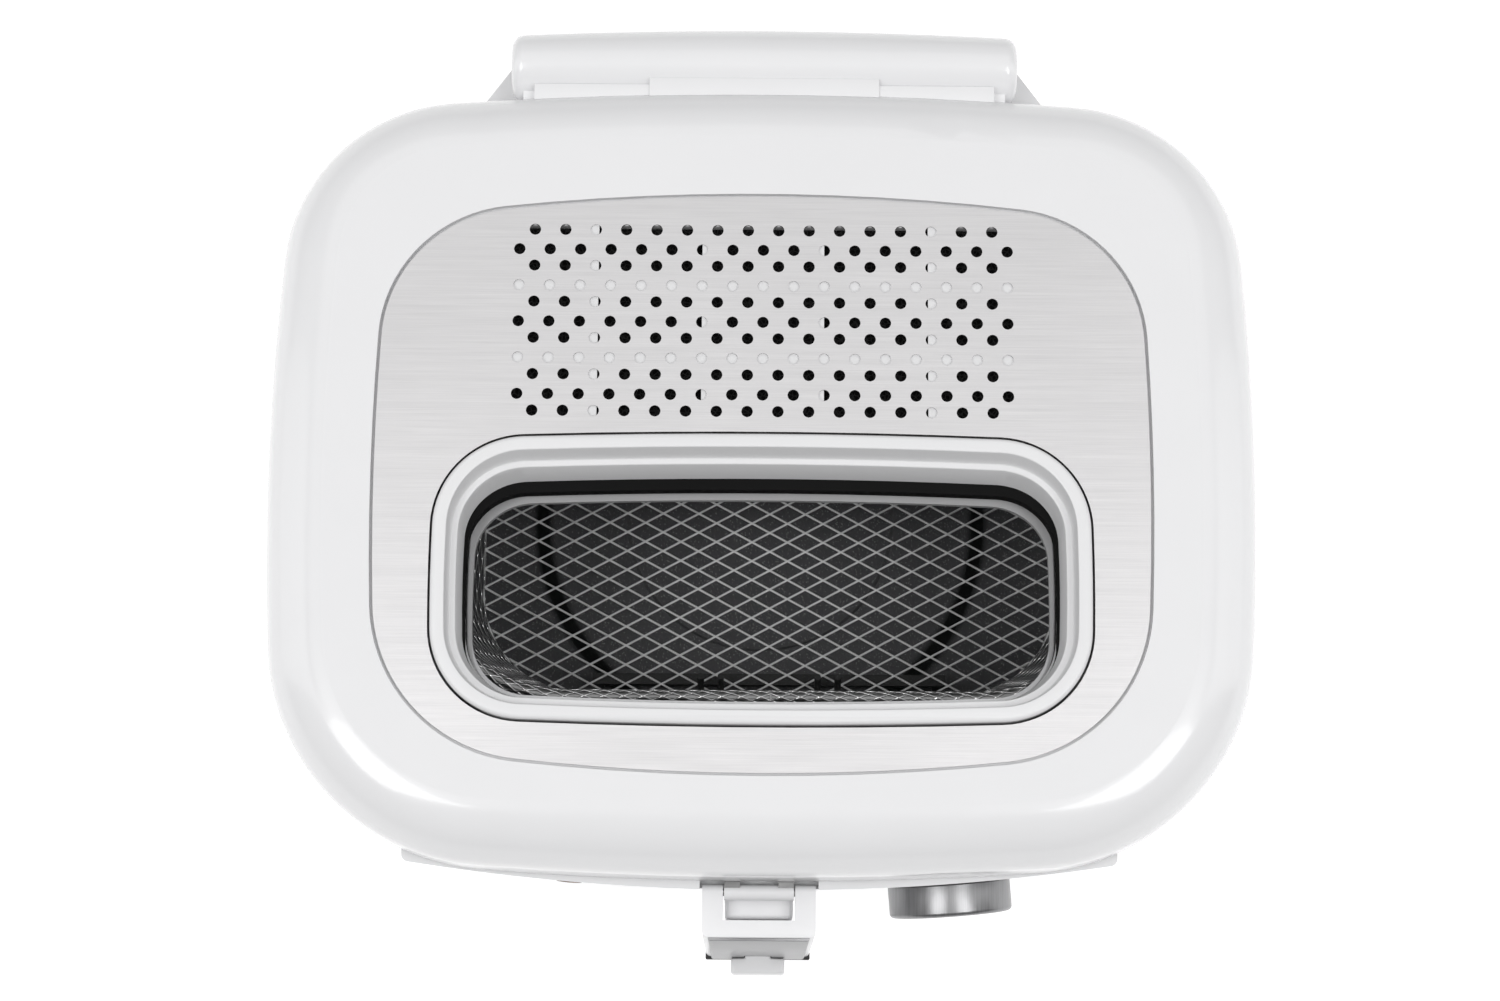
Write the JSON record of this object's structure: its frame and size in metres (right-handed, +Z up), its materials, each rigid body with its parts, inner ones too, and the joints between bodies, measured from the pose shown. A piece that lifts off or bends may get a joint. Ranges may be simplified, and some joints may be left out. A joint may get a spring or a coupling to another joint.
{
  "type": "deep fryer",
  "caption": "White table-top deep fryer with a hinged lid, viewing window, perforated steel filter plate, mesh basket, fold-down handle and thermostat knob.",
  "frame": {"origin": "centre of the bounding box in plan, on the surface that the feet stand on", "axes": "+X to the right and +Y to the rear, as seen by someone facing the handle, +Z up"},
  "size_m": [0.325, 0.3109, 0.232],
  "materials": {
    "white_gloss": "glossy",
    "white_plain": "satin",
    "brushed_plate": "brushed along X",
    "brushed_aluminium": "brushed",
    "inner_aluminium": "satin",
    "pot_coating": "speckled dark non-stick coating",
    "bright_wire": "bright",
    "bare_steel": "plain",
    "dark_plastic": "matt",
    "rubber_black": "matt",
    "rubber_grey": "matt",
    "filter_foam": "open foam",
    "clear_glass": "clear",
    "lamp_amber": "translucent"
  },
  "bodies": {
    "base": {"base_plate": "dark_plastic", "base_screws": "bare_steel", "basket_bracket": "bright_wire", "basket_corners": "bright_wire", "basket_floor": "bright_wire", "basket_front": "bright_wire", "basket_left": "bright_wire", "basket_rear": "bright_wire", "basket_right": "bright_wire", "basket_rim": "bright_wire", "basket_skids": "bright_wire", "cord_gland": "dark_plastic", "front_panel": "white_gloss", "handle_barrel": "white_gloss", "heat_shield": "bare_steel", "heater_plate": "inner_aluminium", "heater_posts": "bare_steel", "heating_element": "bare_steel", "hinge_bracket": "white_gloss", "hinge_pins": "bare_steel", "hinge_springs": "bare_steel", "inner_pot": "pot_coating", "outer_housing": "white_gloss", "pilot_lamp": "lamp_amber", "release_spring": "bare_steel", "rubber_feet": "rubber_black", "terminal_block": "dark_plastic", "thermal_cutout": "bare_steel", "thermostat_body": "dark_plastic", "top_deck": "white_plain"},
    "lid": {"lid_shell": "white_gloss", "lid_plate": "brushed_plate", "hinge_cover": "white_gloss", "inner_lid": "inner_aluminium", "lid_gasket": "rubber_grey", "lid_screws": "bare_steel", "filter_tray": "white_plain", "filter_pad": "filter_foam", "filter_grille": "white_plain", "window_bezel": "white_gloss", "window_glass": "clear_glass", "window_seal": "rubber_black", "latch_catch": "bare_steel"},
    "knob": {"thermostat_knob": "brushed_aluminium", "thermostat_shaft": "bare_steel"},
    "handle": {"handle_yoke": "white_gloss", "handle_trim": "brushed_plate", "handle_end_cap": "dark_plastic", "handle_pins": "bare_steel"},
    "handle_slide": {"handle_slide": "white_gloss"},
    "release": {"release_button": "white_gloss"}
  },
  "joints": [
    {"name": "lid_hinge", "type": "hinge", "parent": "base", "child": "lid", "pos_m": [0, 0.142, 0.2095], "axis": [-1, 0, 0], "range_deg": [0, 80]},
    {"name": "thermostat_turn", "type": "hinge", "parent": "base", "child": "knob", "pos_m": [0.0636, -0.12804, 0.165], "axis": [0.0825, -0.9891, -0.1219], "range_deg": [0, 270]},
    {"name": "handle_fold", "type": "hinge", "parent": "base", "child": "handle", "pos_m": [0, -0.1348, 0.192], "axis": [-1, 0, 0], "range_deg": [0, 88]},
    {"name": "handle_slide", "type": "slide", "parent": "handle", "child": "handle_slide", "axis": [0, 0, 1], "range_m": [0, 0.006], "stiffness_N_per_m": 300},
    {"name": "release_press", "type": "slide", "parent": "base", "child": "release", "axis": [0, 0, -1], "range_m": [0, 0.004], "stiffness_N_per_m": 600, "deforming": ["release_spring"]}
  ]
}
